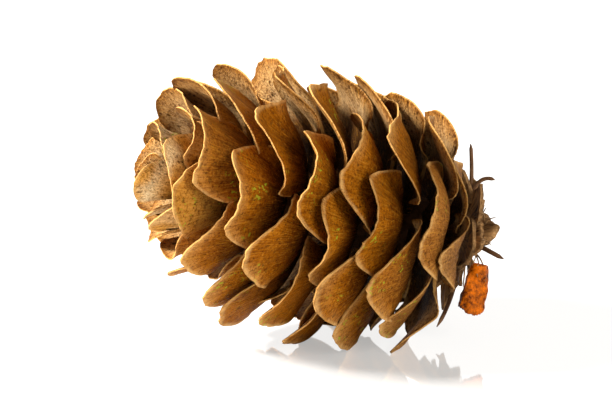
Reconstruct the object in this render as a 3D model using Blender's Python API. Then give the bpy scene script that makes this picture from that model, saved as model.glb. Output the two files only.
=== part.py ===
"""An opened larch cone lying on its side: woody scales spiralling round a rachis, with the
dry bracts, needles and stalk stub of its short shoot at the base.

The cone is modelled upright about its own axis, base at height 0, in millimetres. It is then
laid down: the tip towards -X and a little towards -Y, raised, on four scale tips.
"""

import math
import random

import bmesh
import bpy
import numpy as np
from mathutils import Matrix, Vector

MM = 0.001
SEED = 7

# The spiral of the seed scales
FIRST_SCALE, LAST_SCALE = 7, 82
DIVERGENCE = 99.502  # degrees from one scale to the next
ZERO_AZIMUTH = 121.0  # degrees, of scale number 0, from the side that faces -Y
# One row for each station up the cone: scale number, height of its root on the rachis,
# height and radius of its apex, half its width, and the angle from the axis at which it ends
STATIONS = np.array([
    (0, -0.5, 2.5, 6.2, 2.2, 56),
    (11, 1.5, 5.9, 9.8, 3.4, 42),
    (20, 3.5, 8.9, 10.6, 4.3, 36),
    (30, 5.9, 12.2, 10.8, 4.4, 32),
    (48, 11.5, 18.0, 10.4, 4.3, 30),
    (66, 17.3, 24.4, 7.2, 3.7, 22),
    (77, 20.9, 26.0, 4.5, 2.9, 14),
    (82, 22.8, 26.8, 2.0, 2.1, 6),
])
ROOT_ANGLE = 78  # degrees from the axis at which a scale leaves the rachis
USUAL_HALF_WIDTH = 4.1  # smaller scales have waves smaller in proportion

# One seed scale
ROOT_DEPTH = 0.8  # how far a root starts inside the rachis
CLAW_HALF_WIDTH = 0.8
WIDEST_AT = 0.72  # share of the length at which a scale is widest
MARGIN_SWEEP = 118  # degrees of margin on each side of the apex
SIDE_HOLLOW = 1.35  # above 1 draws the sides of the claw in
FIRST_HANDLE, LAST_HANDLE = 0.52, 0.56  # of the midline's bend, as shares of its reach
EXTRA_BEND = 0.4  # how much more a blade bends than the round of the cone does
LEAST_BEND_RADIUS, LEAST_TURN_RADIUS = 3, 1.2  # near the axis, where the round of the cone is too tight
RIPPLE_SHIFT = 0.8  # radians by which the waves of the outline run ahead of the waves of the face
SCALE_THICKNESS = 0.64
COLUMNS, ROWS = 6, 3
SMALL_HALF_WIDTH, SMALL_COLUMNS = 3.7, 4  # scales narrower than this have fewer faces
ROW_CROWDING = 0.8  # below 1 brings the rows closer together towards the margin
TWIST = 4  # degrees about the midline, so that neighbours lap instead of crossing

# Where the cone departs from an even spiral: the scales on its underside opened less, and single
# scales stand out of line. For each of those: degrees of azimuth, height and radius of the apex,
# and share of the width
UNDERSIDE_HEIGHT, UNDERSIDE_RADIUS = -1.2, -0.8
OUT_OF_LINE = {
    11: (0, -1.8, -0.9, 0.75), 12: (0, -1.2, -0.9, 0.8), 18: (0, -0.4, -0.6, 0.75),
    19: (-4, -0.6, -0.1, 1.08), 22: (-1, -0.9, -1.9, 0.75), 26: (1, 0.5, 0, 1), 27: (0, -1.0, 0, 1),
    29: (0, -0.9, -0.9, 0.8), 30: (1, 0.5, 0, 1), 33: (0, -0.6, 0, 0.85), 36: (1, -0.4, -1.1, 0.8),
    37: (3, 0.2, 0, 1.05), 38: (0, -1.0, 0, 1), 40: (0, -0.8, 0.1, 0.75), 44: (-1, 0.5, -0.1, 1),
    47: (0, 0.7, 0.2, 0.75), 48: (1, 0.1, 0, 1), 51: (0, 0.5, -0.4, 0.75), 54: (1, -0.3, -1.0, 0.8),
    55: (-1, 0.4, -0.1, 1), 58: (0, 0.5, -0.1, 0.7), 59: (3, 0.1, 0, 1), 61: (1, -0.1, -0.5, 0.85),
    65: (0, 0, 0, 0.8), 66: (2, 0.8, 0, 1.05), 69: (0, 0, 0, 0.85), 72: (0, -0.4, -0.3, 1),
    76: (0, -0.3, 1.0, 1), 79: (0, -0.6, 0, 1),
}
# Scales that end more along the axis, by how many degrees
FLATTER = {12: -14, 16: -12, 19: -22, 22: -6, 26: -8, 30: -4, 37: -4}
# Low scales that are turned about their midline to face the front, by how many degrees more
TURNED = {20: 14, 27: 20, 31: 20, 38: 20, 42: 18, 45: 14, 49: 22, 53: 16, 56: 20, 60: 16}
# Scales whose margin is plainly drawn in at one place: where that is, across the scale
DRAWN_IN_AT = {
    19: 0, 26: 0.15, 30: -0.05, 37: 0.1, 41: -0.1, 44: -0.55, 48: 0, 55: -0.45, 59: -0.1,
}
DRAWN_IN_WAVES, DRAWN_IN_RIPPLE = 2.2, 0.05

# The rachis, as (height, radius)
RACHIS = np.array([(0.2, 1.7), (0.9, 2.6), (11, 2.6), (18, 2.1), (23, 1.2), (24.2, 0.5)])
RACHIS_SIDES = 12

# The stalk stub and the whorls of dry bracts on it. For each whorl: azimuth of the first bract,
# degrees to the next and number of them, height of their roots, radius and height of their tips,
# half their width, and the angle from the axis at which they end
STUB_RADIUS = 1.4
STUB_TOP, STUB_FOOT = -0.45, -1.9
STUB_FOOT_RADIUS, STUB_ROUNDING = 1.26, 0.3
BRACT_WHORLS = [
    (12, 50, 6, -0.9, 6.1, 0.45, 2.2, 70),
    (24, 38, 8, -1.1, 5.6, -0.5, 1.6, 92),
    (43, 76, 4, -1.5, 4.2, -2.0, 1.4, 95),
]
BRACT_START = 0.7  # radius at which a bract starts, inside the stub
BRACT_COLUMNS, BRACT_ROWS = 4, 2

# The dry needles caught among the bracts: three points each, then the radius at each end
NEEDLES = [
    ((-0.1, 3.9, -0.6), (-0.9, 5.9, -0.3), (-1.4, 7.4, 0.2), 0.36, 0.3),
    ((0.3, 4.2, -0.5), (0.4, 5.6, -0.7), (1.3, 5.6, -1.5), 0.36, 0.3),
    ((1.0, 0.3, -1.3), (3.1, 0.5, -1.6), (5.0, 0.5, -2.6), 0.45, 0.36),
    ((0.5, -0.8, -1.3), (2.4, -4.4, -1.1), (3.7, -6.4, 0.2), 0.4, 0.3),
]
NEEDLE_SIDES, NEEDLE_STEPS = 6, 5

# The amber bud scale that hangs below the stalk stub, facing out
FLAKE_TOP, FLAKE_FOOT = Vector((4.1, -0.8, -1.4)), Vector((5.4, -4.4, -1.25))
FLAKE_HALF_WIDTH = 1.05
FLAKE_BEND = 0.35  # how far the middle of its width stands out from its edges
FLAKE_TOP_SHARE = 0.56  # of its half width at the top, widening to the full one
FLAKE_WIDENING = 0.7  # below 1 widens it sooner
FLAKE_ROUNDING = 0.12  # share of its length by which the corners at its foot draw back
FLAKE_COLUMNS, FLAKE_ROWS = 4, 4

SHARP_ANGLE = 40  # degrees between faces, above which an edge is not shaded smooth

# How the cone lies, in degrees
TIP_TOWARDS_FRONT = 18
TIP_RAISED = 17

# What it rests on
FLOOR = -7.5  # height of the floor under the foot of the rachis once the cone lies
CONTACT_SCALES = (9, 17, 27, 31)
FLAT_CUT = 0.3  # depth of the flat spot worn on each of them
SETTLING_ROUNDS = 4
CLEARANCE = 0.15  # of every other scale
BLOCK_RADIUS, BLOCK_DEPTH = 40, 5  # of the block that cuts the flat spots


def draw_scales():
    """The place and form of every scale, from the stations and a seeded draw."""
    rng = random.Random(SEED)
    scales = []
    for number in range(FIRST_SCALE, LAST_SCALE + 1):
        root, height, radius, half_width, end_angle = (
            float(np.interp(number, STATIONS[:, 0], STATIONS[:, k])) for k in range(1, 6)
        )
        size = half_width / USUAL_HALF_WIDTH
        scales.append({
            "start": max(float(np.interp(root, RACHIS[:, 0], RACHIS[:, 1])) - ROOT_DEPTH, 0.2),
            "azimuth": ZERO_AZIMUTH - DIVERGENCE * number + rng.uniform(-3, 3),
            "root": root,
            "height": height + rng.uniform(-0.25, 0.25),
            "radius": radius * rng.uniform(0.97, 1.04),
            "half_width": half_width * rng.uniform(0.94, 1.06),
            "end_angle": end_angle + rng.uniform(-5, 5),
            "waves": rng.uniform(1.4, 2.2),
            "phase": rng.uniform(0, 2 * math.pi),
            "wave_height": rng.uniform(0.35, 0.6) * size,
            "ripple": rng.uniform(0.035, 0.07),
            "flare": rng.uniform(0.3, 0.9) * size,
            "twist": TWIST + rng.uniform(-3, 3),
        })
        scale = scales[-1]
        turn, rise, out, narrowing = OUT_OF_LINE.get(number, (0, 0, 0, 1))
        under = max(0, -math.sin(math.radians(scale["azimuth"])))
        scale["azimuth"] += turn
        scale["height"] += rise + UNDERSIDE_HEIGHT * under
        scale["radius"] += out + UNDERSIDE_RADIUS * under
        scale["half_width"] *= narrowing
        scale["end_angle"] += FLATTER.get(number, 0)
        scale["twist"] += TURNED.get(number, 0)
        if number in DRAWN_IN_AT:
            scale["waves"], scale["ripple"] = DRAWN_IN_WAVES, DRAWN_IN_RIPPLE
            scale["phase"] = math.pi * (1.5 - DRAWN_IN_WAVES * DRAWN_IN_AT[number]) - RIPPLE_SHIFT
    return scales


def columns_of(scale):
    return SMALL_COLUMNS if scale["half_width"] < SMALL_HALF_WIDTH else COLUMNS


def settle(scales):
    """Draws the low scales in or out until four tips bear on the floor and the others clear it."""
    turn = np.array(lying())[:3, :3]
    for number, scale in enumerate(scales, FIRST_SCALE):
        points = columns_of(scale) + 1
        across, along = np.tile(np.linspace(-1, 1, points), 2), np.ones(2 * points)
        lift = np.repeat([SCALE_THICKNESS / 2, -SCALE_THICKNESS / 2], points)
        azimuth = math.radians(scale["azimuth"])
        descent = -float(turn[2] @ (math.cos(azimuth), math.sin(azimuth), 0))
        for _ in range(SETTLING_ROUNDS):
            gap = float((scale_points(scale, across, along, lift) @ turn[2]).min()) - FLOOR
            if number in CONTACT_SCALES:
                scale["radius"] += (gap + FLAT_CUT) / descent
            elif gap < CLEARANCE:
                scale["radius"] += (gap - CLEARANCE) / descent
    return scales


def draw_bracts():
    """The same description for the dry bracts, which are narrow and ragged."""
    rng = random.Random(SEED + 1)
    bracts = []
    for azimuth, step, count, root, radius, height, half_width, end_angle in BRACT_WHORLS:
        for k in range(count):
            bracts.append({
                "start": BRACT_START,
                "azimuth": azimuth + step * k + rng.uniform(-5, 5),
                "root": root,
                "height": height + rng.uniform(-0.3, 0.2),
                "radius": radius * rng.uniform(0.92, 1.05),
                "half_width": half_width * rng.uniform(0.85, 1.1),
                "end_angle": end_angle + rng.uniform(-6, 6),
                "waves": rng.uniform(1.5, 2.5),
                "phase": rng.uniform(0, 2 * math.pi),
                "wave_height": rng.uniform(0.1, 0.25),
                "ripple": rng.uniform(0.05, 0.12),
                "flare": rng.uniform(0.0, 0.2),
                "twist": rng.uniform(-6, 6),
            })
    return bracts


def scale_points(scale, across, along, lift):
    """Points of one scale: across runs from -1 to 1 over its width, along from its claw at 0
    to its margin at 1, and lift is the distance from the mid surface towards the hollow side."""
    sweep = np.radians(MARGIN_SWEEP) * across
    wave = np.sin(math.pi * scale["waves"] * across + scale["phase"])
    ripple = np.sin(math.pi * scale["waves"] * across + scale["phase"] + RIPPLE_SHIFT)
    share = along * (WIDEST_AT + (1 - WIDEST_AT) * np.cos(sweep))
    share += scale["ripple"] * along**4 * (1 - across**4) * ripple
    side = (1 - along) * CLAW_HALF_WIDTH * across
    side += along**SIDE_HOLLOW * scale["half_width"] * np.sin(sweep)

    # The midline is a cubic curve in the plane of radius and height
    start = np.array([scale["start"], scale["root"]])
    end = np.array([scale["radius"], scale["height"]])
    reach = np.linalg.norm(end - start)
    first, last = math.radians(ROOT_ANGLE), math.radians(scale["end_angle"])
    second = start + FIRST_HANDLE * reach * np.array([math.sin(first), math.cos(first)])
    third = end - LAST_HANDLE * reach * np.array([math.sin(last), math.cos(last)])
    s = share[:, None]
    line = (1 - s) ** 3 * start + 3 * (1 - s) ** 2 * s * second + 3 * (1 - s) * s**2 * third + s**3 * end
    ahead = (1 - s) ** 2 * (second - start) + 2 * (1 - s) * s * (third - second) + s**2 * (end - third)
    ahead /= np.linalg.norm(ahead, axis=1)[:, None]
    inward = np.stack([-ahead[:, 1], ahead[:, 0]], axis=1)

    depth = scale["wave_height"] * along**3 * wave - scale["flare"] * along**6 * (1 - across**4)
    depth += EXTRA_BEND * side**2 / (2 * np.maximum(line[:, 0], LEAST_BEND_RADIUS))
    depth += side * math.tan(math.radians(scale["twist"])) + lift
    placed = line + inward * depth[:, None]
    angle = math.radians(scale["azimuth"]) + side / np.maximum(line[:, 0], LEAST_TURN_RADIUS)
    return np.stack([placed[:, 0] * np.cos(angle), placed[:, 0] * np.sin(angle), placed[:, 1]], axis=1)


def blade_mesh(name, scale, columns, rows, thickness):
    """A closed blade: two like faces split the same way, joined all round the edge."""
    across, along = np.meshgrid(np.linspace(-1, 1, columns + 1), np.linspace(0, 1, rows + 1)[1:] ** ROW_CROWDING)
    across = np.concatenate([[-1, 1], across.ravel()])
    along = np.concatenate([[0, 0], along.ravel()])
    half = np.full_like(along, thickness / 2)
    points = np.concatenate([
        scale_points(scale, across, along, half),
        scale_points(scale, across, along, -half),
    ])
    wide, count = columns + 1, len(across)
    middle = columns // 2
    top = [(0, 2 + c + 1, 2 + c) for c in range(middle)]
    top += [(0, 1, 2 + middle)]
    top += [(1, 2 + c + 1, 2 + c) for c in range(middle, columns)]
    for r in range(rows - 1):
        for c in range(columns):
            a = 2 + r * wide + c
            d = a + wide
            top += [(a, a + 1, d + 1), (a, d + 1, d)] if c < middle else [(a, a + 1, d), (a + 1, d + 1, d)]
    rows_end = [2 + r * wide for r in range(rows)]
    rim = [0, 1] + [end + columns for end in rows_end]
    rim += [rows_end[-1] + c for c in reversed(range(1, columns))] + list(reversed(rows_end))
    faces = top + [(c + count, b + count, a + count) for a, b, c in top]
    for a, b in zip(rim, rim[1:] + rim[:1]):
        faces += [(b, a, a + count), (b, a + count, b + count)]
    mesh = bpy.data.meshes.new(name)
    mesh.from_pydata((points * MM).tolist(), [], faces)
    bm = bmesh.new()
    bm.from_mesh(mesh)
    bmesh.ops.recalc_face_normals(bm, faces=bm.faces)
    bm.to_mesh(mesh)
    bm.free()
    return mesh


def needle_mesh(name, first, middle, last, thick, thin):
    """A dry needle: a round rod that tapers along a bent line."""
    first, middle, last = Vector(first), Vector(middle), Vector(last)
    bm = bmesh.new()
    rings = []
    for k in range(NEEDLE_STEPS + 1):
        s = k / NEEDLE_STEPS
        centre = (1 - s) ** 2 * first + 2 * (1 - s) * s * middle + s**2 * last
        ahead = ((1 - s) * (middle - first) + s * (last - middle)).normalized()
        aside = ahead.cross(Vector((0, 0, 1))).normalized()
        above = aside.cross(ahead)
        radius = thick + (thin - thick) * s
        turns = [2 * math.pi * n / NEEDLE_SIDES for n in range(NEEDLE_SIDES)]
        rings.append([
            bm.verts.new((centre + radius * (math.cos(t) * aside + math.sin(t) * above)) * MM) for t in turns
        ])
    for low, high in zip(rings, rings[1:]):
        for n in range(NEEDLE_SIDES):
            m = (n + 1) % NEEDLE_SIDES
            bm.faces.new((low[n], low[m], high[m], high[n]))
    bm.faces.new(list(reversed(rings[0])))
    bm.faces.new(rings[-1])
    bmesh.ops.recalc_face_normals(bm, faces=bm.faces)
    mesh = bpy.data.meshes.new(name)
    bm.to_mesh(mesh)
    bm.free()
    return mesh


def flake_mesh(name):
    """The amber bud scale: a small bent plate, rounded at its foot."""
    down = FLAKE_FOOT - FLAKE_TOP
    facing = Vector((down.y, -down.x, 0)).normalized()
    if facing.x < 0:
        facing = -facing
    wide = Vector((0, 0, 1))
    count = (FLAKE_COLUMNS + 1) * (FLAKE_ROWS + 1)
    points = []
    for side in (0.5, -0.5):
        for r in range(FLAKE_ROWS + 1):
            for c in range(FLAKE_COLUMNS + 1):
                u, v = 2 * c / FLAKE_COLUMNS - 1, r / FLAKE_ROWS
                widening = math.sin(math.pi / 2 * v**FLAKE_WIDENING)
                half = FLAKE_HALF_WIDTH * (FLAKE_TOP_SHARE + (1 - FLAKE_TOP_SHARE) * widening)
                stand = FLAKE_BEND * (1 - u * u) + side * SCALE_THICKNESS
                reach = v * (1 - FLAKE_ROUNDING * u * u)
                points.append((FLAKE_TOP + down * reach + wide * half * u + facing * stand) * MM)
    faces = []
    wide_count = FLAKE_COLUMNS + 1
    for r in range(FLAKE_ROWS):
        for c in range(FLAKE_COLUMNS):
            a = r * wide_count + c
            quad = (a, a + 1, a + wide_count + 1, a + wide_count)
            faces += [quad, tuple(count + k for k in reversed(quad))]
    rim = list(range(FLAKE_COLUMNS)) + [r * wide_count + FLAKE_COLUMNS for r in range(FLAKE_ROWS)]
    rim += [FLAKE_ROWS * wide_count + c for c in range(FLAKE_COLUMNS, 0, -1)]
    rim += [r * wide_count for r in range(FLAKE_ROWS, 0, -1)]
    for a, b in zip(rim, rim[1:] + rim[:1]):
        faces.append((b, a, count + a, count + b))
    mesh = bpy.data.meshes.new(name)
    mesh.from_pydata([tuple(p) for p in points], [], faces)
    bm = bmesh.new()
    bm.from_mesh(mesh)
    bmesh.ops.recalc_face_normals(bm, faces=bm.faces)
    bm.to_mesh(mesh)
    bm.free()
    return mesh


def add_object(name, mesh):
    made = bpy.data.objects.new(name, mesh)
    bpy.context.scene.collection.objects.link(made)
    return made


def turned_mesh(name, profile, sides):
    """A body turned about the axis from (radius, height) points, bottom to top."""
    bm = bmesh.new()
    rings = []
    for radius, height in profile:
        ring = []
        for k in range(sides):
            angle = 2 * math.pi * k / sides
            ring.append(bm.verts.new(
                (radius * math.cos(angle) * MM, radius * math.sin(angle) * MM, height * MM)))
        rings.append(ring)
    for low, high in zip(rings, rings[1:]):
        for k in range(sides):
            n = (k + 1) % sides
            bm.faces.new((low[k], low[n], high[n], high[k]))
    bm.faces.new(list(reversed(rings[0])))
    bm.faces.new(rings[-1])
    mesh = bpy.data.meshes.new(name)
    bm.to_mesh(mesh)
    bm.free()
    return mesh


def join(base, pieces):
    """One body from a base and the pieces rooted in it."""
    group = bpy.data.collections.new(base.name + "_pieces")
    for piece in pieces:
        group.objects.link(piece)
    union = base.modifiers.new("union", "BOOLEAN")
    union.operation = "UNION"
    union.operand_type = "COLLECTION"
    union.collection = group
    union.solver = "MANIFOLD"
    graph = bpy.context.evaluated_depsgraph_get()
    joined = bpy.data.meshes.new_from_object(base.evaluated_get(graph))
    base.modifiers.remove(union)
    base.data = joined
    for piece in pieces:
        bpy.data.objects.remove(piece)
    bpy.data.collections.remove(group)


def lying():
    """The turn from the upright cone to how it lies, azimuth 0 facing -Y and 90 facing up."""
    front, raised = math.radians(TIP_TOWARDS_FRONT), math.radians(TIP_RAISED)
    axis = Vector((-math.cos(front) * math.cos(raised), -math.sin(front) * math.cos(raised), math.sin(raised)))
    facing = Vector((0, -1, 0))
    out = (facing - facing.dot(axis) * axis).normalized()
    up = axis.cross(out)
    return Matrix((out, up, axis)).transposed().to_4x4()


def keep_largest(made):
    """Drops the slivers that a union leaves, and keeps the one body."""
    bm = bmesh.new()
    bm.from_mesh(made.data)
    left, bodies = set(bm.verts), []
    while left:
        edge, body = [left.pop()], []
        while edge:
            vertex = edge.pop()
            body.append(vertex)
            for link in vertex.link_edges:
                other = link.other_vert(vertex)
                if other in left:
                    left.remove(other)
                    edge.append(other)
        bodies.append(body)
    bodies.sort(key=len)
    bmesh.ops.delete(bm, geom=[vertex for body in bodies[:-1] for vertex in body])
    bm.to_mesh(made.data)
    bm.free()


def finish_surface(made, name, colour, roughness):
    """Gives a body its material: colour is linear RGB."""
    material = bpy.data.materials.new(name)
    material.use_nodes = True
    shader = material.node_tree.nodes["Principled BSDF"]
    shader.inputs["Base Color"].default_value = (*colour, 1)
    shader.inputs["Roughness"].default_value = roughness
    shader.inputs["Metallic"].default_value = 0
    made.data.materials.clear()
    made.data.materials.append(material)
    made.data.shade_smooth()
    made.data.set_sharp_from_angle(angle=math.radians(SHARP_ANGLE))


def cut_flat(made):
    """Cuts away what is below the floor."""
    sides = [(BLOCK_RADIUS, FLOOR - BLOCK_DEPTH), (BLOCK_RADIUS, FLOOR)]
    block = add_object("floor_block", turned_mesh("floor_block", sides, 4))
    cut = made.modifiers.new("cut", "BOOLEAN")
    cut.operation = "DIFFERENCE"
    cut.object = block
    cut.solver = "MANIFOLD"
    graph = bpy.context.evaluated_depsgraph_get()
    flat = bpy.data.meshes.new_from_object(made.evaluated_get(graph))
    made.modifiers.remove(cut)
    made.data = flat
    bpy.data.objects.remove(block)


def centre(made):
    """Moves all bodies so that the middle of the bottom of their common box is the origin."""
    points = np.array([vertex.co[:] for body in made for vertex in body.data.vertices])
    low, high = points.min(axis=0), points.max(axis=0)
    move = Matrix.Translation((-(low[0] + high[0]) / 2, -(low[1] + high[1]) / 2, -low[2]))
    for body in made:
        body.data.transform(move)


def main():
    for old in list(bpy.data.objects):
        bpy.data.objects.remove(old)
    cone = add_object("cone", turned_mesh("cone", RACHIS[:, ::-1].tolist(), RACHIS_SIDES))
    blades = []
    for number, scale in enumerate(settle(draw_scales()), FIRST_SCALE):
        name = f"scale_{number}"
        blades.append(add_object(name, blade_mesh(name, scale, columns_of(scale), ROWS, SCALE_THICKNESS)))
    join(cone, blades)

    stub = [(STUB_FOOT_RADIUS, STUB_FOOT), (STUB_RADIUS, STUB_FOOT + STUB_ROUNDING), (STUB_RADIUS, STUB_TOP)]
    base_bracts = add_object("base_bracts", turned_mesh("base_bracts", stub, RACHIS_SIDES))
    pieces = [
        add_object(f"bract_{k}", blade_mesh(f"bract_{k}", bract, BRACT_COLUMNS, BRACT_ROWS, SCALE_THICKNESS))
        for k, bract in enumerate(draw_bracts())
    ]
    pieces += [add_object(f"needle_{k}", needle_mesh(f"needle_{k}", *needle)) for k, needle in enumerate(NEEDLES)]
    join(base_bracts, pieces)

    flake = add_object("amber_bud_scale", flake_mesh("amber_bud_scale"))
    for made in (cone, base_bracts, flake):
        made.data.transform(lying())
    cut_flat(cone)
    keep_largest(cone)
    keep_largest(base_bracts)
    centre((cone, base_bracts, flake))
    finish_surface(cone, "scale_wood", (0.27, 0.115, 0.03), 0.62)
    finish_surface(base_bracts, "bract_wood", (0.09, 0.042, 0.018), 0.8)
    finish_surface(flake, "amber_bark", (0.36, 0.1, 0.012), 0.4)


main()
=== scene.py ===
import math
import random

import bmesh
import bpy
import numpy as np
from mathutils import Matrix, Vector


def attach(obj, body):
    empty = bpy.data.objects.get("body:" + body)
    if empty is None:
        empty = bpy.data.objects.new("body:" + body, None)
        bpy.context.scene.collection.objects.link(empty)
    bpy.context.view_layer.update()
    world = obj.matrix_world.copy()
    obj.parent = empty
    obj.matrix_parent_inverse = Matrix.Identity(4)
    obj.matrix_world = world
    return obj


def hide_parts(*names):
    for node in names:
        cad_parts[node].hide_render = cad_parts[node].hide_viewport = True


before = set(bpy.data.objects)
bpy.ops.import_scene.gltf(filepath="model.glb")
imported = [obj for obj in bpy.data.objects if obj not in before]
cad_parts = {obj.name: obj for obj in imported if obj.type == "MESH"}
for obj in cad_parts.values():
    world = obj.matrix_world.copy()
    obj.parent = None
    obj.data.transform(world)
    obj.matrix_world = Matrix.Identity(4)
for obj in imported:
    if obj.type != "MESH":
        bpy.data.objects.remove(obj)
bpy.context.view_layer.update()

# The cone and how it lies. It is described upright about its own axis, in millimetres, with the
# foot of its rachis at height 0, and then laid down: the tip towards -X, a little forward and
# raised, so that it bears on four scale tips.
MM = 0.001
FOOT = Vector((10.21, 3.44, 7.5))  # where the foot of the rachis comes to lie
TIP_TOWARDS_FRONT = math.radians(18)
TIP_RAISED = math.radians(17)
AXIS = Vector((
    -math.cos(TIP_TOWARDS_FRONT) * math.cos(TIP_RAISED),
    -math.sin(TIP_TOWARDS_FRONT) * math.cos(TIP_RAISED),
    math.sin(TIP_RAISED),
))
FACING_FRONT = (Vector((0, -1, 0)) + AXIS.y * AXIS).normalized()
LYING = Matrix((FACING_FRONT, AXIS.cross(FACING_FRONT), AXIS)).transposed()
LAID = Matrix.Translation(FOOT * MM) @ LYING.to_4x4() @ Matrix.Scale(MM, 4)

# The camera, as in a close photograph taken from a little above the floor.
PICTURE_WIDTH = 612  # pixels
PIXELS_PER_MM = 13
CAMERA_ELEVATION = math.radians(14)
LENS = 100
SENSOR = 36
MIDDLE_OF_AXIS = 11.7  # height on the axis of the cone
RAISED_BY, SHIFTED_BY = 1.5, 9  # pixels, from that point to what the camera looks at
BACK = Vector((0, -math.cos(CAMERA_ELEVATION), math.sin(CAMERA_ELEVATION)))
RIGHT = Vector((1, 0, 0))
UP = BACK.cross(RIGHT)
looked_at = LAID @ Vector((0, 0, MIDDLE_OF_AXIS))
looked_at += (RAISED_BY * UP - SHIFTED_BY * RIGHT) / PIXELS_PER_MM * MM
distance = PICTURE_WIDTH / PIXELS_PER_MM * MM * LENS / SENSOR
camera = bpy.data.objects.new("camera", bpy.data.cameras.new("camera"))
camera.data.lens = LENS
camera.data.sensor_width = SENSOR
camera.data.clip_start = 0.005
camera.location = looked_at + BACK * distance
camera.rotation_mode = "QUATERNION"
camera.rotation_quaternion = (-BACK).to_track_quat("-Z", "Y")
bpy.context.scene.collection.objects.link(camera)
bpy.context.scene.camera = camera
bpy.context.scene.view_settings.view_transform = "Standard"


class Socket:
    """The output of a node. Its operators add Math nodes."""

    def __init__(self, net, out):
        self.net, self.out = net, out

    def math(self, operation, *others):
        return self.net.add("ShaderNodeMath", {"operation": operation}, dict(enumerate((self, *others))))

    def __add__(self, other):
        return self.math("ADD", other)

    def __mul__(self, other):
        return self.math("MULTIPLY", other)

    def __sub__(self, other):
        return self.math("SUBTRACT", other)

    def __truediv__(self, other):
        return self.math("DIVIDE", other)

    def __pow__(self, other):
        return self.math("POWER", other)

    def __rsub__(self, other):
        return self * -1 + other

    def __gt__(self, other):
        return self.math("GREATER_THAN", other)

    def __lt__(self, other):
        return self.math("LESS_THAN", other)

    __radd__, __rmul__ = __add__, __mul__

    def clamped(self):
        return self.net.add("ShaderNodeClamp", {}, {"Value": self})

    def between(self, low, high):
        """0 below low, 1 above high, and smooth from one to the other."""
        return self.net.add(
            "ShaderNodeMapRange", {"interpolation_type": "SMOOTHSTEP"},
            {"Value": self, "From Min": low, "From Max": high},
        )


class Net:
    """A node tree, to which nodes are added from their type, settings and inputs."""

    def __init__(self, tree):
        self.tree = tree

    def add(self, kind, settings=None, inputs=None, output=0):
        node = self.tree.nodes.new(kind)
        for name, value in (settings or {}).items():
            if name == "stops":
                ramp = node.color_ramp.elements
                while len(ramp) < len(value):
                    ramp.new(1)
                for stop, (position, colour) in zip(ramp, value):
                    stop.position, stop.color = position, (*colour, 1)
            else:
                setattr(node, name, value)
        for name, value in (inputs or {}).items():
            if isinstance(name, str):
                socket = next(s for s in node.inputs if s.enabled and s.name == name)
            else:
                socket = node.inputs[name]
            if isinstance(value, Socket):
                self.tree.links.new(value.out, socket)
            elif socket.type == "RGBA":
                socket.default_value = (*value, 1)
            else:
                socket.default_value = value
        outs = [s for s in node.outputs if s.enabled]
        found = outs[output] if isinstance(output, int) else next(s for s in outs if s.name == output)
        return Socket(self, found)

    def mix(self, share, first, second, blend="MIX"):
        """A colour between two."""
        return self.add(
            "ShaderNodeMix", {"data_type": "RGBA", "blend_type": blend},
            {"Factor": share, "A": first, "B": second},
        )

    def ramp(self, share, stops):
        """A colour from a ramp of positions and colours."""
        return self.add("ShaderNodeValToRGB", {"stops": stops}, {"Fac": share})

    def feed(self, sockets):
        """Links sockets to the inputs of the tree's shader."""
        shader = self.tree.nodes["Principled BSDF"]
        for name, socket in sockets.items():
            self.tree.links.new(socket.out, shader.inputs[name])

    def vector(self, x=0, y=0, z=0):
        return self.add("ShaderNodeCombineXYZ", {}, {"X": x, "Y": y, "Z": z})

    def parts(self, vector):
        """The X, Y and Z of a vector."""
        split = self.add("ShaderNodeSeparateXYZ", {}, {"Vector": vector})
        return [Socket(self, out) for out in split.out.node.outputs]

    def noise(self, at, scale, detail=2, roughness=0.5):
        return self.add(
            "ShaderNodeTexNoise", {},
            {"Vector": at, "Scale": scale, "Detail": detail, "Roughness": roughness},
        )

    def attribute(self, name, output="Fac"):
        """What a mesh holds under a name, for a material."""
        return self.add("ShaderNodeAttribute", {"attribute_name": name}, {}, output)


# The floor: a white glossy board under soft light, which mirrors the cone faintly. It glows for
# the camera alone, so that it is as white as the room without lighting the cone from below.
FLOOR_GLOW = 0.42
bpy.ops.mesh.primitive_plane_add(size=3)
floor = bpy.context.object
floor.name = "floor"
board = bpy.data.materials.new("white_board")
board.use_nodes = True
shader = board.node_tree.nodes["Principled BSDF"]
shader.inputs["Base Color"].default_value = (0.5, 0.49, 0.47, 1)
shader.inputs["Roughness"].default_value = 0.05
shader.inputs["IOR"].default_value = 4.5
shader.inputs["Emission Color"].default_value = (1, 0.99, 0.96, 1)
net = Net(board.node_tree)
seen = net.add("ShaderNodeLightPath", {}, {}, "Is Camera Ray")
net.feed({"Emission Strength": seen * FLOOR_GLOW})
floor.data.materials.append(board)

# Light: a white room, bright to the camera and in the floor's mirror and dim on the cone, a lamp
# from the left and above, and a weaker one from the front right.
ROOM_LIGHT = 0.25
ROOM_SEEN, ROOM_MIRRORED = 0.8, 0.8  # added to it for the camera and for reflections
world = bpy.data.worlds.new("white_room")
world.use_nodes = True
bpy.context.scene.world = world
net = Net(world.node_tree)
seen = net.add("ShaderNodeLightPath", {}, {}, "Is Camera Ray")
mirrored = net.add("ShaderNodeLightPath", {}, {}, "Is Glossy Ray")
background = world.node_tree.nodes["Background"]
background.inputs["Color"].default_value = (1, 1, 1, 1)
brightness = seen * ROOM_SEEN + mirrored * ROOM_MIRRORED + ROOM_LIGHT
world.node_tree.links.new(brightness.out, background.inputs["Strength"])


MIDDLE_OF_CONE = Vector((0, 0, 0.01))


def add_lamp(name, place, size, power):
    """A square lamp that faces the cone."""
    lamp = bpy.data.objects.new(name, bpy.data.lights.new(name, "AREA"))
    lamp.data.size = size
    lamp.data.energy = power
    lamp.location = Vector(place)
    lamp.rotation_mode = "QUATERNION"
    lamp.rotation_quaternion = (MIDDLE_OF_CONE - lamp.location).to_track_quat("-Z", "Y")
    bpy.context.scene.collection.objects.link(lamp)


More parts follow.
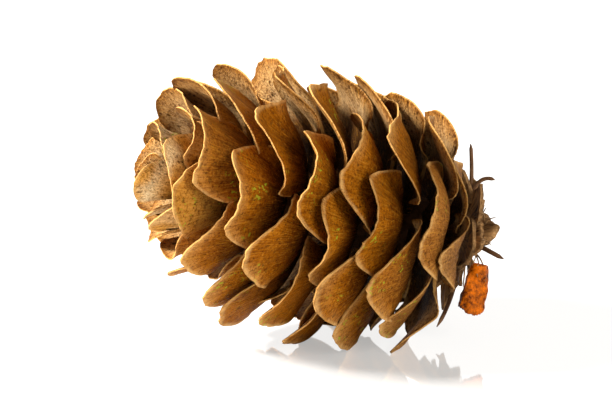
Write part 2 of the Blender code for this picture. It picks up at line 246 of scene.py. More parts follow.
add_lamp("key_lamp", (-0.34, -0.03, 0.25), 0.1, 6.8)
add_lamp("front_lamp", (0.34, -0.4, 0.26), 0.3, 2.4)

# The seed scales: thin woody blades in one spiral about the rachis, dry and opened, each on a
# narrow claw that grows from it. Their margins are waved, turned out and worn.
SEED = 7
FIRST_SCALE, LAST_SCALE = 7, 82
DIVERGENCE = 99.502  # degrees from one scale to the next
ZERO_AZIMUTH = 121.0  # degrees, of scale number 0, from the side that faces the camera
# Scale number, height of its root on the rachis, height and radius of its apex, half its width,
# and the angle from the axis at which it ends
STATIONS = np.array([
    (0, -0.5, 2.5, 6.2, 2.2, 56),
    (11, 1.5, 5.9, 9.8, 3.4, 42),
    (20, 3.5, 8.9, 10.6, 4.3, 36),
    (30, 5.9, 12.2, 10.8, 4.4, 32),
    (48, 11.5, 18.0, 10.4, 4.3, 30),
    (66, 17.3, 24.4, 7.2, 3.7, 22),
    (77, 20.9, 26.0, 4.5, 2.9, 14),
    (82, 22.8, 26.8, 2.0, 2.1, 6),
])
USUAL_HALF_WIDTH = 4.1  # smaller scales have waves smaller in proportion
SHARP_ANGLE = math.radians(50)  # between faces, above which an edge is not shaded smooth
RACHIS = np.array([(0.2, 1.7), (0.9, 2.6), (11, 2.6), (18, 2.1), (23, 1.2), (24.2, 0.5)])
ROOT_DEPTH = 0.8  # how far a root starts inside the rachis
LEAST_START = 0.2  # nearest to the axis that a root starts
ROOT_ANGLE = math.radians(78)  # from the axis, at which a scale leaves the rachis
CLAW_HALF_WIDTH = 0.8
WIDEST_AT = 0.72  # share of the length at which a scale is widest
MARGIN_SWEEP = math.radians(118)  # of margin on each side of the apex
SIDE_HOLLOW = 1.35  # above 1 draws the sides of the claw in
FIRST_HANDLE, LAST_HANDLE = 0.52, 0.56  # of the midline's bend, as shares of the reach
EXTRA_BEND = 0.4  # how much more a blade bends than the round of the cone does
LEAST_BEND_RADIUS, LEAST_TURN_RADIUS = 3, 1.2  # near the axis, where the round is too tight
RIPPLE_SHIFT = 0.8  # radians by which the waves of the outline run ahead of those of the face
TWIST = 4  # degrees about the midline, so that neighbours lap
ROW_CROWDING = 0.7  # below 1 brings the rows of faces closer together towards the margin
SOLID_THICKNESS = 0.64  # of a blade in the solid model, which bears on the floor
SOLID_COLUMNS = 6
SMALL_HALF_WIDTH, SMALL_COLUMNS = 3.7, 4  # solid blades narrower than this have fewer faces
FLOOR = -7.5  # height of the floor under the foot of the rachis once the cone lies
CONTACT_SCALES = (9, 17, 27, 31)
FLAT_CUT = 0.3  # depth of the flat spot worn on each of them
CLEARANCE = 0.15  # of every other scale
SETTLING_ROUNDS = 4

# Where the cone departs from an even spiral: the scales on its underside opened less, and single
# scales stand out of line. For each of those: degrees of azimuth, height and radius of the apex,
# and share of the width. Most of the shifts were worked out apart from this script, by a fit to
# where the tips should stand, and rounded; the others are set one by one
UNDERSIDE_HEIGHT, UNDERSIDE_RADIUS = -1.2, -0.8
OUT_OF_LINE = {
    11: (0, -1.8, -0.9, 0.75), 12: (0, -1.2, -0.9, 0.8), 18: (0, -0.4, -0.6, 0.75),
    19: (-4, -0.6, -0.1, 1.08), 22: (-1, -0.9, -1.9, 0.75), 26: (1, 0.5, 0, 1), 27: (0, -1.0, 0, 1),
    29: (0, -0.9, -0.9, 0.8), 30: (1, 0.5, 0, 1), 33: (0, -0.6, 0, 0.85), 36: (1, -0.4, -1.1, 0.8),
    37: (3, 0.2, 0, 1.05), 38: (0, -1.0, 0, 1), 40: (0, -0.8, 0.1, 0.75), 44: (-1, 0.5, -0.1, 1),
    47: (0, 0.7, 0.2, 0.75), 48: (1, 0.1, 0, 1), 51: (0, 0.5, -0.4, 0.75), 54: (1, -0.3, -1.0, 0.8),
    55: (-1, 0.4, -0.1, 1), 58: (0, 0.5, -0.1, 0.7), 59: (3, 0.1, 0, 1), 61: (1, -0.1, -0.5, 0.85),
    65: (0, 0, 0, 0.8), 66: (2, 0.8, 0, 1.05), 69: (0, 0, 0, 0.85), 72: (0, -0.4, -0.3, 1),
    76: (0, -0.3, 1.0, 1), 79: (0, -0.6, 0, 1),
}
# Scales that end more along the axis, by how many degrees
FLATTER = {12: -14, 16: -12, 19: -22, 22: -6, 26: -8, 30: -4, 37: -4}
# Low scales that are turned about their midline to face the front, by how many degrees more
TURNED = {20: 14, 27: 20, 31: 20, 38: 20, 42: 18, 45: 14, 49: 22, 53: 16, 56: 20, 60: 16}
# Scales whose margin is plainly drawn in at one place: where that is, across the scale
DRAWN_IN_AT = {
    19: 0, 26: 0.15, 30: -0.05, 37: 0.1, 41: -0.1, 44: -0.55, 48: 0, 55: -0.45, 59: -0.1,
}
DRAWN_IN_WAVES, DRAWN_IN_RIPPLE = 2.2, 0.05

rng = random.Random(SEED)
scales = []
for number in range(FIRST_SCALE, LAST_SCALE + 1):
    root, height, radius, half_width, end_angle = (
        float(np.interp(number, STATIONS[:, 0], STATIONS[:, k])) for k in range(1, 6)
    )
    size = half_width / USUAL_HALF_WIDTH
    start = float(np.interp(root, RACHIS[:, 0], RACHIS[:, 1])) - ROOT_DEPTH
    scales.append({
        "start": max(start, LEAST_START),
        "azimuth": math.radians(ZERO_AZIMUTH - DIVERGENCE * number + rng.uniform(-3, 3)),
        "root": root,
        "height": height + rng.uniform(-0.25, 0.25),
        "radius": radius * rng.uniform(0.97, 1.04),
        "half_width": half_width * rng.uniform(0.94, 1.06),
        "end_angle": math.radians(end_angle + rng.uniform(-5, 5)),
        "waves": rng.uniform(1.4, 2.2),
        "phase": rng.uniform(0, 2 * math.pi),
        "wave_height": rng.uniform(0.35, 0.6) * size,
        "ripple": rng.uniform(0.035, 0.07),
        "flare": rng.uniform(0.3, 0.9) * size,
        "slope": TWIST + rng.uniform(-3, 3),
        "up_the_cone": (number - FIRST_SCALE) / (LAST_SCALE - FIRST_SCALE),
    })
    scale = scales[-1]
    turn, rise, out, narrowing = OUT_OF_LINE.get(number, (0, 0, 0, 1))
    under = max(0, -math.sin(scale["azimuth"]))
    scale["azimuth"] += math.radians(turn)
    scale["height"] += rise + UNDERSIDE_HEIGHT * under
    scale["radius"] += out + UNDERSIDE_RADIUS * under
    scale["half_width"] *= narrowing
    scale["end_angle"] += math.radians(FLATTER.get(number, 0))
    scale["slope"] = math.tan(math.radians(scale["slope"] + TURNED.get(number, 0)))
    if number in DRAWN_IN_AT:
        scale["waves"], scale["ripple"] = DRAWN_IN_WAVES, DRAWN_IN_RIPPLE
        scale["phase"] = math.pi * (1.5 - DRAWN_IN_WAVES * DRAWN_IN_AT[number]) - RIPPLE_SHIFT


def sine(x):
    return x.math("SINE") if isinstance(x, Socket) else np.sin(x)


def cosine(x):
    return x.math("COSINE") if isinstance(x, Socket) else np.cos(x)


def at_least(x, low):
    return x.math("MAXIMUM", low) if isinstance(x, Socket) else np.maximum(x, low)


def blade_place(scale, across, along, lift, wear=0, wrinkle=0):
    """X, Y and Z of points on one blade, from numbers or from sockets. Across runs from -1 to 1
    over its width, along from its claw at 0 to its margin at 1, and lift is the distance from
    the mid surface towards the hollow side."""
    sweep = across * MARGIN_SWEEP
    turn = across * scale["waves"] * math.pi + scale["phase"]
    share = along * (WIDEST_AT + (1 - WIDEST_AT) * cosine(sweep)) - wear
    share = share + scale["ripple"] * along**4 * (1 - across**4) * sine(turn + RIPPLE_SHIFT)
    side = (1 - along) * across * CLAW_HALF_WIDTH
    side = side + along**SIDE_HOLLOW * scale["half_width"] * sine(sweep)

    # The midline is a cubic curve in the plane of radius and height
    out, rise = scale["radius"] - scale["start"], scale["height"] - scale["root"]
    reach = (out**2 + rise**2) ** 0.5
    line, ahead = [], []
    for first, last, heading in (
        (scale["start"], scale["radius"], (math.sin(ROOT_ANGLE), sine(scale["end_angle"]))),
        (scale["root"], scale["height"], (math.cos(ROOT_ANGLE), cosine(scale["end_angle"]))),
    ):
        second = first + reach * heading[0] * FIRST_HANDLE
        third = last - reach * heading[1] * LAST_HANDLE
        rest = 1 - share
        line.append(
            rest**3 * first + 3 * rest**2 * share * second + 3 * rest * share**2 * third + share**3 * last
        )
        ahead.append(
            rest**2 * (second - first) + 2 * rest * share * (third - second) + share**2 * (last - third)
        )
    speed = (ahead[0] ** 2 + ahead[1] ** 2) ** 0.5

    depth = scale["wave_height"] * along**3 * sine(turn) + wrinkle
    depth = depth - scale["flare"] * along**6 * (1 - across**4)
    depth = depth + EXTRA_BEND * side**2 / (2 * at_least(line[0], LEAST_BEND_RADIUS))
    depth = depth + side * scale["slope"] + lift
    radius = line[0] - depth * ahead[1] / speed
    height = line[1] + depth * ahead[0] / speed
    angle = side / at_least(line[0], LEAST_TURN_RADIUS) + scale["azimuth"]
    return radius * cosine(angle), radius * sine(angle), height


# Four low tips bear on the floor and the others clear it
for number, scale in enumerate(scales, FIRST_SCALE):
    points = 1 + (SMALL_COLUMNS if scale["half_width"] < SMALL_HALF_WIDTH else SOLID_COLUMNS)
    across = np.tile(np.linspace(-1, 1, points), 2)
    lift = np.repeat([SOLID_THICKNESS / 2, -SOLID_THICKNESS / 2], points)
    descent = -(LYING @ Vector((math.cos(scale["azimuth"]), math.sin(scale["azimuth"]), 0))).z
    for _ in range(SETTLING_ROUNDS):
        margin = np.array(blade_place(scale, across, np.ones_like(across), lift))
        gap = (np.array(LYING)[2] @ margin).min() - FLOOR
        if number in CONTACT_SCALES:
            scale["radius"] += (gap + FLAT_CUT) / descent
        elif gap < CLEARANCE:
            scale["radius"] += (gap - CLEARANCE) / descent


def blade_tree(described):
    """A tree that sets a closed blade on each point of a mesh, which holds what describes it."""
    tree = bpy.data.node_groups.new("blades_on_a_spiral", "GeometryNodeTree")
    for name, kind in (
        ("Points", "Geometry"), ("Columns", "Int"), ("Rows", "Int"), ("Claw thickness", "Float"),
        ("Margin thickness", "Float"), ("Wear", "Float"), ("Wrinkle", "Float"), ("Material", "Material"),
    ):
        tree.interface.new_socket(name=name, in_out="INPUT", socket_type="NodeSocket" + kind)
    tree.interface.new_socket(name="Blades", in_out="OUTPUT", socket_type="NodeSocketGeometry")
    net = Net(tree)
    given = {s.name: Socket(net, s) for s in tree.nodes.new("NodeGroupInput").outputs if s.name}

    block = net.add(
        "GeometryNodeMeshCube", {},
        {
            "Size": (2, 1, 1), "Vertices X": given["Columns"] + 1, "Vertices Y": given["Rows"] + 1,
            "Vertices Z": 2,
        },
    )
    place = net.add("GeometryNodeInputPosition")
    block = net.add(
        "GeometryNodeStoreNamedAttribute", {"data_type": "FLOAT_VECTOR", "domain": "POINT"},
        {"Geometry": block, "Name": "blade", "Value": place},
    )
    blades = net.add("GeometryNodeInstanceOnPoints", {}, {"Points": given["Points"], "Instance": block})
    blades = net.add("GeometryNodeRealizeInstances", {}, {"Geometry": blades})

    def held(name, kind="FLOAT"):
        return net.add("GeometryNodeInputNamedAttribute", {"data_type": kind}, {"Name": name})

    across, along, face = net.parts(held("blade", "FLOAT_VECTOR"))
    along = (along + 0.5) ** ROW_CROWDING
    scale = {name: held(name) for name in described}
    draw = scale["phase"] * 7
    bites = net.noise(net.vector(across * 9, draw, 0), 1, 3, 0.7)
    folds = net.noise(net.vector(across * 2.5, along * 2.5, draw), 1, 2) - 0.5
    fold_height = given["Wrinkle"] * along * folds
    thinning = given["Margin thickness"] - given["Claw thickness"]
    lift = face * (given["Claw thickness"] + along * thinning)
    worn_off = given["Wear"] * along**14 * bites
    points = blade_place(scale, across, along, lift, worn_off, fold_height)
    blades = net.add("GeometryNodeSetPosition", {}, {"Geometry": blades, "Position": net.vector(*points)})
    blades = net.add("GeometryNodeFlipFaces", {}, {"Mesh": blades})
    blades = net.add(
        "GeometryNodeStoreNamedAttribute", {"data_type": "FLOAT_VECTOR", "domain": "POINT"},
        {"Geometry": blades, "Name": "blade", "Value": net.vector(across, along, face)},
    )
    blades = net.add(
        "GeometryNodeTransform", {},
        {"Geometry": blades, "Translation": FOOT * MM, "Rotation": LYING.to_euler(), "Scale": (MM, MM, MM)},
    )
    x, y, z = net.parts(net.add("GeometryNodeInputPosition"))
    blades = net.add(
        "GeometryNodeSetPosition", {}, {"Geometry": blades, "Position": net.vector(x, y, at_least(z, 0))}
    )
    blades = net.add("GeometryNodeSetMaterial", {}, {"Geometry": blades, "Material": given["Material"]})
    out = tree.nodes.new("NodeGroupOutput")
    tree.links.new(blades.out, out.inputs["Blades"])
    return tree


def add_blades(name, described, sizes):
    """A piece with one blade for each description, made by the tree with the sizes given."""
    points = bpy.data.meshes.new(name)
    points.from_pydata([(0, 0, 0)] * len(described), [], [])
    for key in described[0]:
        values = points.attributes.new(key, "FLOAT", "POINT")
        values.data.foreach_set("value", [each[key] for each in described])
    piece = bpy.data.objects.new(name, points)
    grown = piece.modifiers.new("grown", "NODES")
    grown.node_group = blade_tree(described[0])
    for item in grown.node_group.interface.items_tree:
        if item.in_out == "INPUT" and item.name in sizes:
            grown[item.identifier] = sizes[item.name]
    bpy.context.scene.collection.objects.link(piece)
    graph = bpy.context.evaluated_depsgraph_get()
    plain = bpy.data.meshes.new_from_object(piece.evaluated_get(graph))
    piece.modifiers.remove(grown)
    piece.data = plain
    plain.name = name
    plain.shade_smooth()
    plain.set_sharp_from_angle(angle=SHARP_ANGLE)
    return piece


# Scale wood: deep golden brown outside with fine lines from claw to margin and dark specks, darkening
# to near black towards the claw as painted shade where each blade runs under its neighbours; matt and
# grey near the base; paler at the tip, partly bleached and partly painted highlight of the left lamp;
# pale inside, also with painted shade towards the claw; a thin pale rim, partly worn and partly
# painted highlight, and painted highlight along the cut edges; green algae in spots.
# Golden towards the margin; the deep dark towards the claw is painted shade, where each blade runs under
# its neighbours.
OUTSIDE_STOPS_SHADED_TO_CLAW = [  # from claw to margin
    (0.1, (0.006, 0.0015, 0.0002)), (0.42, (0.05, 0.013, 0.0004)), (0.68, (0.18, 0.049, 0.001)),
    (0.88, (0.36, 0.113, 0.003)), (0.97, (0.36, 0.112, 0.005)),
]
# Pale cream further out; the dark near the claw is painted shade in the hollow under the next scale.
INSIDE_STOPS_SHADED_TO_CLAW = [
    (0.2, (0.02, 0.006, 0.001)), (0.52, (0.13, 0.052, 0.014)), (0.76, (0.6, 0.38, 0.17)),
    (0.9, (0.52, 0.29, 0.1)), (0.98, (0.24, 0.095, 0.018)),
]
# The grey of the basal scales; the gold and cream at the tip are partly bleaching and partly painted
# highlight.
GREYED, TIP_GOLD_BLEACH_AND_GLARE, TIP_CREAM_BLEACH_AND_GLARE = (0.31, 0.15, 0.047), (0.92, 0.5, 0.1), (1, 0.85, 0.52)
BLEACHED_MARGIN, INSIDE_SPECK = (0.62, 0.31, 0.085), (0.1, 0.035, 0.01)

scale_wood = bpy.data.materials.new("seed_scale_wood")
scale_wood.use_nodes = True
net = Net(scale_wood.node_tree)
across, along, face = net.parts(net.attribute("blade", "Vector"))
up_the_cone = net.attribute("up_the_cone")
draw = net.attribute("phase")
place = net.add("ShaderNodeTexCoord", {}, {}, "Object")
lines = net.noise(net.vector(across * 26, along * 2.2, draw * 9), 1, 4, 0.65)
fine_lines = net.noise(net.vector(across * 90, along * 9, draw * 9), 1, 2, 0.5)
patches = net.noise(place, 190, 2, 0.5)
blotches = net.noise(place, 330, 3, 0.6)
specks = net.noise(place, 2300, 2, 0.6)
dust = net.noise(place, 4200, 3, 0.75)
grain = net.noise(place, 6000, 2, 0.6)
worn = net.noise(place, 900, 3, 0.7).between(0.3, 0.65)

# Colour from claw to margin, its dark claw end being painted shade.
outside = net.ramp(along, OUTSIDE_STOPS_SHADED_TO_CLAW)
outside = net.mix((1 - up_the_cone.between(0.02, 0.3)) * 0.8, outside, GREYED)
# Paler towards the tip, gold and then cream in patches: partly bleached wood and partly a painted highlight
# of the lamp on the left, which overexposes the tip.
tip_bleach_and_glare = up_the_cone.between(0.74, 0.97) * along.between(0.3, 0.75) * (0.45 + blotches)
outside = net.mix(tip_bleach_and_glare.clamped() * 0.85, outside, TIP_GOLD_BLEACH_AND_GLARE)
tip_bleach_and_glare = up_the_cone.between(0.84, 0.97) * along.between(0.55, 0.9) * patches.between(0.38, 0.5)
outside = net.mix(tip_bleach_and_glare * 0.9, outside, TIP_CREAM_BLEACH_AND_GLARE)
bleached = along.between(0.84, 0.97) * patches.between(0.46, 0.6) * (0.3 + dust)
outside = net.mix(bleached.clamped() * 0.7, outside, BLEACHED_MARGIN)
inside = net.ramp(along, INSIDE_STOPS_SHADED_TO_CLAW)
inside = net.mix(specks.between(0.56, 0.7) * 0.6, inside, INSIDE_SPECK)
colour = net.mix(face > 0.1, outside, inside)

# A thin pale line along the outer margin, broken up in places: partly worn wood, partly a painted highlight
# along the rim.
rim = along.between(0.95, 0.99) * (0.2 + worn * 0.8) * (face < 0.1)
# Painted highlight along the cut edges of each blade, from the middle of its length outwards.
edge_highlight = (face.math("ABSOLUTE") < 0.48) * along.between(0.3, 0.6)
algae = net.noise(place, 260, 2, 0.6).between(0.57, 0.67)
algae = algae * net.noise(place, 3200, 2, 0.5).between(0.6, 0.65)
for share, shade, blend in (
    (((lines - 0.43) * 2.8).clamped(), (0.48, 0.37, 0.27), "MULTIPLY"),
    (blotches.between(0.45, 0.72) * 0.6, (0.45, 0.32, 0.22), "MULTIPLY"),
    (specks.between(0.6, 0.68) * 0.6, (0.05, 0.017, 0.004), "MIX"),
    (dust.between(0.5, 0.64) * 0.75, (0.38, 0.26, 0.16), "MULTIPLY"),
    (grain.between(0.54, 0.66) * 0.6, (0.35, 0.24, 0.15), "MULTIPLY"),
    (dust.between(0.44, 0.3) * 0.3, (0.7, 0.33, 0.05), "MIX"),
    (fine_lines.between(0.52, 0.8) * 0.5, (0.6, 0.26, 0.022), "MIX"),
    # Pale rim at the margin: partly wear, partly painted highlight.
    (rim * 0.65, (0.74, 0.43, 0.15), "MIX"),
    # Painted highlight along the cut edges, broken up by noise.
    (edge_highlight * (0.3 + worn * 0.5), (0.52, 0.27, 0.075), "MIX"),
    (algae * (face < 0.1), (0.3, 0.33, 0.02), "MIX"),
):
    colour = net.mix(share, colour, shade, blend)
relief = lines * 0.5 + fine_lines * 0.3 + grain * 0.25 + blotches * 0.4
bump = net.add("ShaderNodeBump", {}, {"Strength": 0.9, "Distance": 0.0004, "Height": relief})
net.feed({"Base Color": colour, "Roughness": 0.36 + lines * 0.3, "Normal": bump})
scale_wood.node_tree.nodes["Principled BSDF"].inputs["Specular IOR Level"].default_value = 0.03

SCALE_SIZES = {
    "Columns": 56, "Rows": 16, "Claw thickness": 0.5, "Margin thickness": 0.12, "Wear": 0.07,
    "Wrinkle": 0.5, "Material": scale_wood,
}
half = len(scales) // 2
for name, group in (("lower_seed_scales", scales[:half]), ("upper_seed_scales", scales[half:])):
    piece = add_blades(name, group, SCALE_SIZES)
    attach(piece, "root")
    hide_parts("cone")

# The rachis: the woody core that the scales grow from, a body turned about the axis, dark and
# rough between the claws.
RACHIS_SIDES, RACHIS_RINGS = 40, 70
RACHIS_ROUGHNESS = 0.12


def turned_mesh(name, outline, sides, roughness):
    """A closed body turned about the cone's axis from its (height, radius) outline."""
    rough = random.Random(SEED)
    bm = bmesh.new()
    rings = []
    for height, radius in outline:
        ring = []
        for k in range(sides):
            angle = 2 * math.pi * k / sides
            out = radius + rough.uniform(-roughness, 0)
            ring.append(bm.verts.new(LAID @ Vector((out * math.cos(angle), out * math.sin(angle), height))))
        rings.append(ring)
    for low, high in zip(rings, rings[1:]):
        for k in range(sides):
            n = (k + 1) % sides
            bm.faces.new((low[k], low[n], high[n], high[k]))
    bm.faces.new(list(reversed(rings[0])))
    bm.faces.new(rings[-1])
    mesh = bpy.data.meshes.new(name)
    bm.to_mesh(mesh)
    bm.free()
    mesh.shade_smooth()
    mesh.set_sharp_from_angle(angle=SHARP_ANGLE)
    return mesh


def add_piece(name, mesh, material, node):
    """A piece of the cone, in place of a solid."""
    piece = bpy.data.objects.new(name, mesh)
    piece.data.materials.append(material)
    bpy.context.scene.collection.objects.link(piece)
    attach(piece, "root")
    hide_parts(node)
    return piece


def unstretched(net, place):
    """A pattern that runs in no direction."""
    return place


def dry_wood(name, dark, light, at, scale, rough, height, contrast=1.5):
    """A dull woody finish of two colours, mottled and grained along the vector at."""
    material = bpy.data.materials.new(name)
    material.use_nodes = True
    net = Net(material.node_tree)
    place = net.add("ShaderNodeTexCoord", {}, {}, "Object")
    fibres = net.noise(at(net, place), scale, 4, 0.7)
    mottle = net.noise(place, 700, 3, 0.6)
    share = 0.45 + (fibres - 0.5) * contrast + (mottle - 0.5) * contrast * 0.7
    colour = net.mix(share.clamped(), dark, light)
    relief = fibres + mottle * 0.5
    bump = net.add("ShaderNodeBump", {}, {"Strength": 0.7, "Distance": height, "Height": relief})
    net.feed({"Base Color": colour, "Roughness": rough + fibres * 0.2, "Normal": bump})
    material.node_tree.nodes["Principled BSDF"].inputs["Specular IOR Level"].default_value = 0.15
    return material


rachis_wood = dry_wood(
    "rachis_wood", (0.02, 0.008, 0.003), (0.16, 0.07, 0.025), unstretched,
    scale=2200, rough=0.65, height=0.0002,
)
heights = np.linspace(RACHIS[0, 0], RACHIS[-1, 0], RACHIS_RINGS)
outline = [(h, float(np.interp(h, RACHIS[:, 0], RACHIS[:, 1]))) for h in heights]
rachis = turned_mesh("rachis", outline, RACHIS_SIDES, RACHIS_ROUGHNESS)
add_piece("rachis", rachis, rachis_wood, "cone")

# The stalk stub and the sterile bracts at the broad end: short, narrow, ragged blades, dark and
# brittle, in three whorls that grew from the stub.
STUB_RADIUS = 1.4
STUB_TOP, STUB_FOOT = -0.45, -1.9
STUB_ROUNDING = [(0, 0.86), (0.12, 0.93)]  # height above its foot, and share of its radius there
STUB_STRAIGHT_FROM = 0.3
STUB_SIDES, STUB_RINGS = 28, 8
STUB_ROUGHNESS = 0.1
# For each whorl of bracts: azimuth of the first, degrees to the next and number of them, height of
# their roots, radius and height of their tips, half their width, and the angle from the axis at
# which they end
BRACT_WHORLS = [
    (12, 50, 6, -0.9, 6.1, 0.45, 2.2, 70),
    (24, 38, 8, -1.1, 5.6, -0.5, 1.6, 92),
    (43, 76, 4, -1.5, 4.2, -2.0, 1.4, 95),
]
BRACT_START = 0.7  # radius at which a bract starts, inside the stub

rng = random.Random(SEED + 1)
bracts = []
for azimuth, step, count, root, radius, height, half_width, end_angle in BRACT_WHORLS:
    for k in range(count):
        bracts.append({
            "start": BRACT_START,
            "azimuth": math.radians(azimuth + step * k + rng.uniform(-5, 5)),
            "root": root,
            "height": height + rng.uniform(-0.3, 0.2),
            "radius": radius * rng.uniform(0.92, 1.05),
            "half_width": half_width * rng.uniform(0.85, 1.1),
            "end_angle": math.radians(end_angle + rng.uniform(-6, 6)),
            "waves": rng.uniform(1.5, 2.5),
            "phase": rng.uniform(0, 2 * math.pi),
            "wave_height": rng.uniform(0.1, 0.25),
            "ripple": rng.uniform(0.05, 0.12),
            "flare": rng.uniform(0.0, 0.2),
            "slope": math.tan(math.radians(rng.uniform(-6, 6))),
        })


def along_blade(net, place):
    """Stretches a pattern from the root of a blade to its margin."""
    across, along, face = net.parts(net.attribute("blade", "Vector"))
    return net.vector(across * 14, along * 2, net.attribute("phase") * 9 + face)


bract_wood = dry_wood(
    "dry_bract", (0.02, 0.007, 0.002), (0.62, 0.33, 0.12), along_blade,
    scale=1, rough=0.6, height=0.0002, contrast=2,
)
piece = add_blades("sterile_bracts", bracts, {
    "Columns": 30, "Rows": 14, "Claw thickness": 0.5, "Margin thickness": 0.25, "Wear": 0.2, "Wrinkle": 0.5,
    "Material": bract_wood,
})
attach(piece, "root")
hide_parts("base_bracts")

outline = [(STUB_FOOT + above, STUB_RADIUS * share) for above, share in STUB_ROUNDING]
outline += [(h, STUB_RADIUS) for h in np.linspace(STUB_FOOT + STUB_STRAIGHT_FROM, STUB_TOP, STUB_RINGS)]
stub_bark = dry_wood(
    "stub_bark", (0.02, 0.01, 0.006), (0.2, 0.11, 0.06), unstretched,
    scale=1800, rough=0.7, height=0.0003,
)
stub = turned_mesh("stalk_stub", outline, STUB_SIDES, STUB_ROUGHNESS)
add_piece("stalk_stub", stub, stub_bark, "base_bracts")

# The dry needles caught among the bracts: thin brown rods, bent and tapering.
NEEDLES = [  # three points of its line, then the radius at each end
    ((-0.1, 3.9, -0.6), (-0.9, 5.9, -0.3), (-1.4, 7.4, 0.2), 0.36, 0.3),
    ((0.3, 4.2, -0.5), (0.4, 5.6, -0.7), (1.3, 5.6, -1.5), 0.36, 0.3),
    ((1.0, 0.3, -1.3), (3.1, 0.5, -1.6), (5.0, 0.5, -2.6), 0.45, 0.36),
    ((0.5, -0.8, -1.3), (2.4, -4.4, -1.1), (3.7, -6.4, 0.2), 0.4, 0.3),
]
NEEDLE_THINNING = 0.5  # of each radius given, those of the needles being thick enough to print
NEEDLE_SIDES, NEEDLE_STEPS = 10, 24
NEEDLE_END, NEEDLE_POINT = 0.25, 6  # share of the radius at its end, and how soon it is full
NEEDLE_SHARP_ANGLE = math.radians(60)


def needle_mesh(name, lines):
    """Closed round rods along bent lines, with a blunt pointed end."""
    bm = bmesh.new()
    for first, middle, last, thick, thin in lines:
        first, middle, last = Vector(first), Vector(middle), Vector(last)
        rings = []
        for k in range(NEEDLE_STEPS + 1):
            s = k / NEEDLE_STEPS
            centre = (1 - s) ** 2 * first + 2 * (1 - s) * s * middle + s**2 * last
            ahead = ((1 - s) * (middle - first) + s * (last - middle)).normalized()
            aside = ahead.cross(Vector((0, 0, 1))).normalized()
            above = aside.cross(ahead)
            radius = (thick + (thin - thick) * s) * NEEDLE_THINNING
            radius *= min(1, NEEDLE_END + NEEDLE_POINT * (1 - s))
            turns = [2 * math.pi * n / NEEDLE_SIDES for n in range(NEEDLE_SIDES)]
            rings.append([
                bm.verts.new(LAID @ (centre + radius * (math.cos(t) * aside + math.sin(t) * above)))
                for t in turns
            ])
        for low, high in zip(rings, rings[1:]):
            for n in range(NEEDLE_SIDES):
                m = (n + 1) % NEEDLE_SIDES
                bm.faces.new((low[n], low[m], high[m], high[n]))
        bm.faces.new(list(reversed(rings[0])))
        bm.faces.new(rings[-1])
    bmesh.ops.recalc_face_normals(bm, faces=bm.faces)
    mesh = bpy.data.meshes.new(name)
    bm.to_mesh(mesh)
    bm.free()
    mesh.shade_smooth()
    mesh.set_sharp_from_angle(angle=NEEDLE_SHARP_ANGLE)
    return mesh


needle_brown = dry_wood(
    "dry_needle", (0.05, 0.02, 0.008), (0.28, 0.14, 0.06), unstretched,
    scale=1500, rough=0.5, height=0.0001,
)
add_piece("dry_needles", needle_mesh("dry_needles", NEEDLES), needle_brown, "base_bracts")

# Straw: fine pale fibres of the stub's bark, each rooted in the stub, curled and tangled over the
# bracts on the lower front.
STRAW_COUNT = 34
STRAW_TURN, STRAW_SWEEP = (-75, 50), (-38, 38)  # degrees about the axis, from root to end
STRAW_ROOT, STRAW_END = (0.95, 1.15), (3.6, 5.6)  # distance from the axis
STRAW_LOW, STRAW_HIGH = (-1.7, -0.9), (-1.8, 0.3)  # height at the root and at the end
STRAW_BEND, STRAW_SAG = (-0.5, 0.5), 0.25
STRAW_RADIUS, STRAW_THIN_END = (0.1, 0.2), 0.08  # thinned like those of the needles
rng = random.Random(SEED + 3)
straw = []
for _ in range(STRAW_COUNT):
    turn, sweep = math.radians(rng.uniform(*STRAW_TURN)), math.radians(rng.uniform(*STRAW_SWEEP))
    inner, outer = rng.uniform(*STRAW_ROOT), rng.uniform(*STRAW_END)
    low, high = rng.uniform(*STRAW_LOW), rng.uniform(*STRAW_HIGH)
    middle = (inner + outer) / 2 + rng.uniform(*STRAW_BEND)
    line = [
        (out * math.cos(turn + twist), out * math.sin(turn + twist), rise)
        for out, twist, rise in (
            (inner, 0, low), (middle, sweep, min(low, high) - STRAW_SAG), (outer, sweep / 2, high)
        )
    ]
    straw.append((*line, rng.uniform(*STRAW_RADIUS), STRAW_THIN_END))
straw_pale = dry_wood(
    "straw", (0.1, 0.045, 0.015), (0.62, 0.38, 0.17), unstretched,
    scale=1500, rough=0.6, height=0.0001,
)
add_piece("straw", needle_mesh("straw", straw), straw_pale, "base_bracts")

# The amber bud scale: a thin resinous plate that hangs below the stub, bowed out along its middle
# and rounded at its foot.
FLAKE_TOP, FLAKE_FOOT = Vector((4.1, -0.8, -1.4)), Vector((5.4, -4.4, -1.25))
FLAKE_HALF_WIDTH = 1.05
FLAKE_BEND = 0.35  # how far the middle of its width stands out from its edges
FLAKE_TOP_SHARE = 0.56  # of its half width at the top, widening to the full one
FLAKE_WIDENING = 0.7  # below 1 widens it sooner
FLAKE_ROUNDING = 0.12  # share of its length by which the corners at its foot draw back
FLAKE_LIFT = 0.06  # share of its length by which its top reaches up
FLAKE_THICKNESS = 0.35
FLAKE_COLUMNS, FLAKE_ROWS = 24, 40

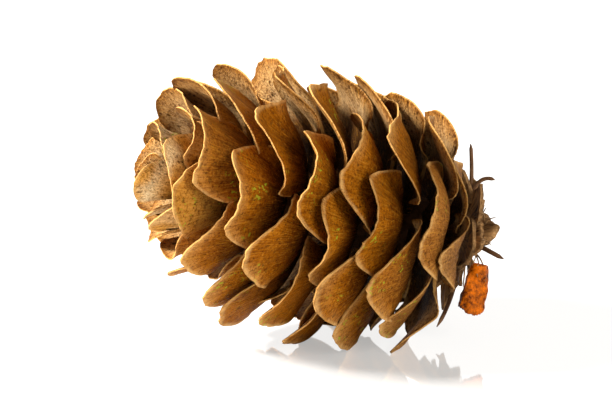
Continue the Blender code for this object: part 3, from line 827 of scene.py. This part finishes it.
down = FLAKE_FOOT - FLAKE_TOP
facing = Vector((-down.y, down.x, 0)).normalized()
rng = random.Random(SEED + 2)
nicks = [rng.uniform(0, 0.05) for _ in range(FLAKE_COLUMNS + 1)]
bm = bmesh.new()
layers = []
for side in (0.5, -0.5):
    layer = []
    for r in range(FLAKE_ROWS + 1):
        for c in range(FLAKE_COLUMNS + 1):
            u, v = 2 * c / FLAKE_COLUMNS - 1, r / FLAKE_ROWS
            widening = math.sin(math.pi / 2 * v**FLAKE_WIDENING)
            half_width = FLAKE_HALF_WIDTH * (FLAKE_TOP_SHARE + (1 - FLAKE_TOP_SHARE) * widening)
            half_width *= 1 + 0.03 * math.sin(17 * v + 2 * u) - 0.02 * math.cos(31 * v)
            stand = FLAKE_BEND * (1 - u * u) + side * FLAKE_THICKNESS + 0.06 * math.sin(9 * v + 3 * u)
            reach = v * (1 - FLAKE_ROUNDING * u * u - nicks[c] * v) - FLAKE_LIFT * (1 - v) ** 2
            layer.append(bm.verts.new(
                LAID @ (FLAKE_TOP + down * reach + Vector((0, 0, half_width * u)) + facing * stand)
            ))
    layers.append(layer)
wide = FLAKE_COLUMNS + 1
for r in range(FLAKE_ROWS):
    for c in range(FLAKE_COLUMNS):
        corner = r * wide + c
        for layer in layers:
            bm.faces.new([layer[k] for k in (corner, corner + 1, corner + wide + 1, corner + wide)])
rim = list(range(FLAKE_COLUMNS)) + [r * wide + FLAKE_COLUMNS for r in range(FLAKE_ROWS)]
rim += [FLAKE_ROWS * wide + c for c in range(FLAKE_COLUMNS, 0, -1)]
rim += [r * wide for r in range(FLAKE_ROWS, 0, -1)]
for a, b in zip(rim, rim[1:] + rim[:1]):
    bm.faces.new((layers[0][a], layers[0][b], layers[1][b], layers[1][a]))
bmesh.ops.recalc_face_normals(bm, faces=bm.faces)
flake = bpy.data.meshes.new("amber_bud_scale_skin")
bm.to_mesh(flake)
bm.free()
flake.shade_smooth()
flake.set_sharp_from_angle(angle=SHARP_ANGLE)
amber = dry_wood(
    "amber_bark", (0.04, 0.006, 0.0005), (0.8, 0.17, 0.003), unstretched,
    scale=2600, rough=0.2, height=0.0002, contrast=2.6,
)
amber.node_tree.nodes["Principled BSDF"].inputs["Specular IOR Level"].default_value = 0.06
add_piece("amber_flake", flake, amber, "amber_bud_scale")
